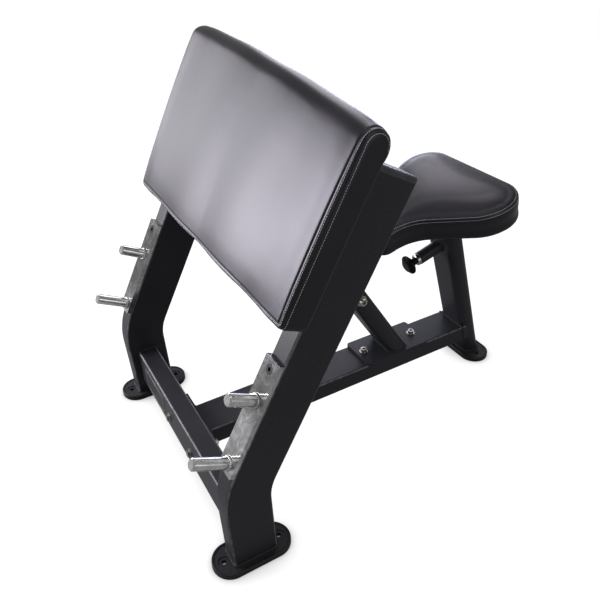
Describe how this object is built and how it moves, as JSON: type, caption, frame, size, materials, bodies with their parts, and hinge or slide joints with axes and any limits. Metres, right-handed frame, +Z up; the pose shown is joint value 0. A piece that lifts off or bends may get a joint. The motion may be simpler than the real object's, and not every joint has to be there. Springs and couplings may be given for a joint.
{
  "type": "preacher curl bench",
  "caption": "Preacher curl bench: sloped arm pad on bent uprights with bar rest pegs, braced base beam, and a saddle seat that slides in a post with a spring pin.",
  "frame": {"origin": "on the floor, under the middle of the bench's bounding box", "axes": "+Z up; +Y from the bar rests back to the seat; X across, with the two uprights at -X and +X"},
  "size_m": [0.7114, 1.0216, 0.9224],
  "materials": {
    "frame_coat": "satin black powder coat with a fine speckle",
    "zinc_plate": "bright zinc plating, mottled",
    "bolt_steel": "zinc plated fasteners",
    "bright_chrome": "polished chrome",
    "black_plastic": "moulded black plastic",
    "boot_rubber": "black moulded rubber",
    "black_leather": "black synthetic leather with light double stitching",
    "plywood": "plain plywood"
  },
  "bodies": {
    "frame": {"left_upright": "frame_coat", "right_upright": "frame_coat", "front_cross_tube": "frame_coat", "upper_cross_tube": "frame_coat", "brace_stub": "frame_coat", "brace_tube": "frame_coat", "brace_base_plate": "frame_coat", "base_beam": "frame_coat", "beam_flange": "frame_coat", "seat_post": "frame_coat", "pin_barrel": "frame_coat", "left_foot_plate": "frame_coat", "right_foot_plate": "frame_coat", "rear_foot_plate": "frame_coat", "left_peg_plate": "zinc_plate", "right_peg_plate": "zinc_plate", "left_lower_peg": "zinc_plate", "left_upper_peg": "zinc_plate", "right_lower_peg": "zinc_plate", "right_upper_peg": "zinc_plate", "brace_cross_bolt": "bolt_steel", "brace_cross_washers": "bolt_steel", "brace_cross_nut": "bolt_steel", "brace_base_bolts": "bolt_steel", "brace_base_washers": "bolt_steel", "brace_base_nuts": "bolt_steel", "flange_bolts": "bolt_steel", "flange_washers": "bolt_steel", "flange_nuts": "bolt_steel", "arm_pad_bolts": "bolt_steel", "arm_pad_washers": "bolt_steel", "peg_plate_screws": "bolt_steel", "pin_spring": "bolt_steel", "pin_nose_ring": "bright_chrome", "left_upright_cap": "black_plastic", "right_upright_cap": "black_plastic", "post_guide_bush": "black_plastic", "left_foot_boot": "boot_rubber", "right_foot_boot": "boot_rubber", "rear_foot_boot": "boot_rubber", "arm_pad_cushion": "black_leather", "arm_pad_board": "plywood"},
    "seat": {"seat_tube": "frame_coat", "seat_tube_plug": "black_plastic", "seat_plate": "frame_coat", "seat_bolts": "bolt_steel", "seat_board": "plywood", "seat_cushion": "black_leather"},
    "lock_pin": {"pull_pin": "bright_chrome", "pin_knob": "black_plastic"}
  },
  "joints": [
    {"name": "seat_height", "type": "slide", "parent": "frame", "child": "seat", "axis": [0, -0.2974, 0.9548], "range_m": [0, 0.15]},
    {"name": "pin_pull", "type": "slide", "parent": "frame", "child": "lock_pin", "axis": [0, -0.9548, -0.2974], "range_m": [0, 0.012], "stiffness_N_per_m": 800, "springref_m": -0.012, "deforming": ["pin_spring"]}
  ]
}
